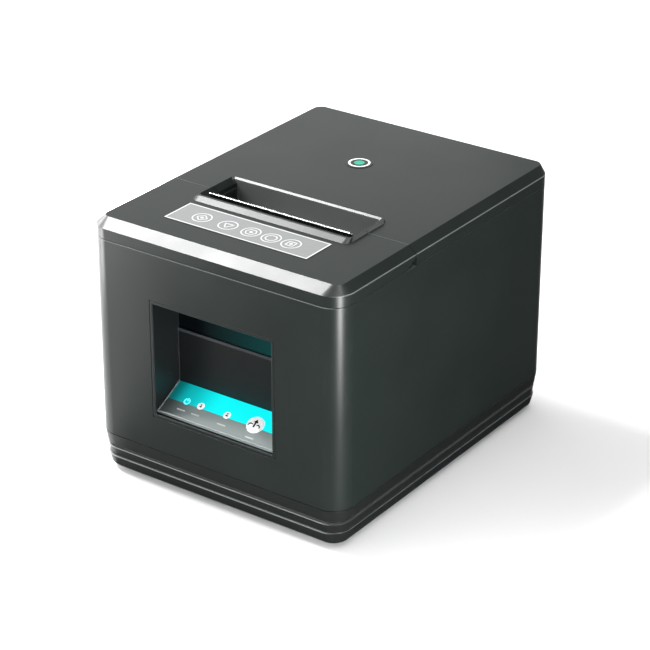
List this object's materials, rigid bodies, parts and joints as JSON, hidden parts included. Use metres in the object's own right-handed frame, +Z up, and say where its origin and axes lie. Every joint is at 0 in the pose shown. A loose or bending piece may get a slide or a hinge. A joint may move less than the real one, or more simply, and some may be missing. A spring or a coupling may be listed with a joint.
{
  "type": "receipt printer",
  "caption": "Desktop thermal receipt printer: boxy case with a hinged paper lid, a paper slot on top and a lit control panel in a front window.",
  "frame": {"origin": "on the table, under the centre of the case", "axes": "+X to the right seen from the front, +Y towards the back, +Z up; the window faces -Y"},
  "size_m": [0.147, 0.185, 0.137],
  "materials": {
    "base_pan": "fine satin",
    "rubber_feet": "matt",
    "case_screws": "zinc plated",
    "main_housing": "satin",
    "hinge_pins": "ground",
    "front_cover": "satin",
    "lid": "satin",
    "lid_badge": "printed",
    "icon_label": "printed film",
    "tear_bar": "serrated",
    "niche_insert": "satin",
    "light_bar": "dark translucent",
    "control_panel": "satin film, lit cyan at the back",
    "power_lens": "lit",
    "status_lenses": "white",
    "feed_button": "white",
    "panel_board": "solder mask",
    "push_switch": "moulded",
    "mechanism_frame": "zinc plated",
    "mechanism_stand": "moulded",
    "print_head": "glazed ceramic",
    "head_heat_sink": "extruded",
    "head_pivot_rod": "ground",
    "head_springs": "spring wire",
    "platen_roller": "ground",
    "platen_shaft": "ground",
    "platen_bushes": "acetal",
    "platen_bracket": "zinc plated",
    "bracket_screws": "zinc plated",
    "platen_gear": "acetal",
    "idler_gear": "acetal",
    "idler_stud": "turned",
    "feed_motor": "can",
    "feed_motor_pinion": "turned",
    "cutter_frame": "moulded",
    "cutter_motor": "can",
    "cutter_pinion": "turned",
    "cutter_blade": "ground",
    "fixed_blade": "ground",
    "paper_bucket": "moulded",
    "paper_guide": "moulded",
    "paper_sensor": "moulded",
    "low_paper_lever": "acetal",
    "low_lever_pin": "ground",
    "low_lever_bracket": "moulded",
    "main_board": "solder mask",
    "board_screws": "zinc plated",
    "usb_socket": "tin plated shell",
    "network_socket": "tin plated shell",
    "drawer_socket": "moulded",
    "power_inlet": "moulded",
    "rear_panel": "black sheet",
    "power_switch_body": "moulded",
    "power_rocker": "moulded"
  },
  "bodies": {
    "chassis": {"base_pan": "base_pan", "rubber_feet": "rubber_feet", "case_screws": "case_screws", "main_housing": "main_housing", "hinge_pins": "hinge_pins", "front_cover": "front_cover", "icon_label": "icon_label", "tear_bar": "tear_bar", "niche_insert": "niche_insert", "light_bar": "light_bar", "control_panel": "control_panel", "power_lens": "power_lens", "status_lenses": "status_lenses", "panel_board": "panel_board", "push_switch": "push_switch", "mechanism_frame": "mechanism_frame", "mechanism_stand": "mechanism_stand", "head_pivot_rod": "head_pivot_rod", "head_springs": "head_springs", "idler_stud": "idler_stud", "feed_motor": "feed_motor", "cutter_frame": "cutter_frame", "cutter_motor": "cutter_motor", "paper_bucket": "paper_bucket", "paper_guide": "paper_guide", "paper_sensor": "paper_sensor", "low_lever_pin": "low_lever_pin", "low_lever_bracket": "low_lever_bracket", "main_board": "main_board", "board_screws": "board_screws", "usb_socket": "usb_socket", "network_socket": "network_socket", "drawer_socket": "drawer_socket", "power_inlet": "power_inlet", "rear_panel": "rear_panel", "power_switch_body": "power_switch_body"},
    "lid": {"lid": "lid", "lid_badge": "lid_badge", "platen_bracket": "platen_bracket", "platen_bushes": "platen_bushes", "bracket_screws": "bracket_screws", "fixed_blade": "fixed_blade"},
    "platen": {"platen_roller": "platen_roller", "platen_shaft": "platen_shaft", "platen_gear": "platen_gear"},
    "idler": {"idler_gear": "idler_gear"},
    "feed_pinion": {"feed_motor_pinion": "feed_motor_pinion"},
    "head": {"print_head": "print_head", "head_heat_sink": "head_heat_sink"},
    "blade": {"cutter_blade": "cutter_blade"},
    "cutter_drive": {"cutter_pinion": "cutter_pinion"},
    "button": {"feed_button": "feed_button"},
    "rocker": {"power_rocker": "power_rocker"},
    "paper_lever": {"low_paper_lever": "low_paper_lever"}
  },
  "joints": [
    {"name": "lid_hinge", "type": "hinge", "parent": "chassis", "child": "lid", "pos_m": [0, 0.0894, 0.1263], "axis": [-1, 0, 0], "range_deg": [0, 85]},
    {"name": "platen_spin", "type": "hinge", "parent": "lid", "child": "platen", "pos_m": [0, -0.02, 0.11], "axis": [1, 0, 0], "continuous": true},
    {"name": "idler_spin", "type": "hinge", "parent": "chassis", "child": "idler", "pos_m": [-0.0542, -0.02, 0.09005], "axis": [1, 0, 0], "continuous": true},
    {"name": "feed_pinion_spin", "type": "hinge", "parent": "chassis", "child": "feed_pinion", "pos_m": [-0.0542, -0.03071, 0.07934], "axis": [1, 0, 0], "continuous": true},
    {"name": "head_tilt", "type": "hinge", "parent": "chassis", "child": "head", "pos_m": [0, -0.0302, 0.1005], "axis": [1, 0, 0], "range_deg": [0, 3], "stiffness_Nm_per_rad": 2, "springref_deg": -5.73, "deforming": ["head_springs"]},
    {"name": "cutter_slide", "type": "slide", "parent": "chassis", "child": "blade", "axis": [0, 1, 0], "range_m": [0, 0.009]},
    {"name": "cutter_pinion_spin", "type": "hinge", "parent": "chassis", "child": "cutter_drive", "pos_m": [0.03, -0.056, 0.117], "axis": [0, 0, 1], "range_deg": [0, 107.5]},
    {"name": "feed_button_press", "type": "slide", "parent": "chassis", "child": "button", "axis": [0, 0.4726, -0.8813], "range_m": [0, 0.0008], "stiffness_N_per_m": 800, "springref_m": -0.001},
    {"name": "power_rocker_tip", "type": "hinge", "parent": "chassis", "child": "rocker", "pos_m": [-0.046, 0.084, 0.0365], "axis": [0, 0, 1], "range_deg": [0, 14]},
    {"name": "low_paper_lever_swing", "type": "hinge", "parent": "chassis", "child": "paper_lever", "pos_m": [0.047, 0.067, 0.055], "axis": [0, 0, 1], "range_deg": [0, 4], "stiffness_Nm_per_rad": 0.02, "springref_deg": -5.73}
  ],
  "couplings": [
    {"joint": "idler_spin", "follows": "platen_spin", "ratio": -0.83333},
    {"joint": "feed_pinion_spin", "follows": "platen_spin", "ratio": 2.1429},
    {"joint": "cutter_pinion_spin", "follows": "cutter_slide", "rad_per_m": 208.33}
  ]
}
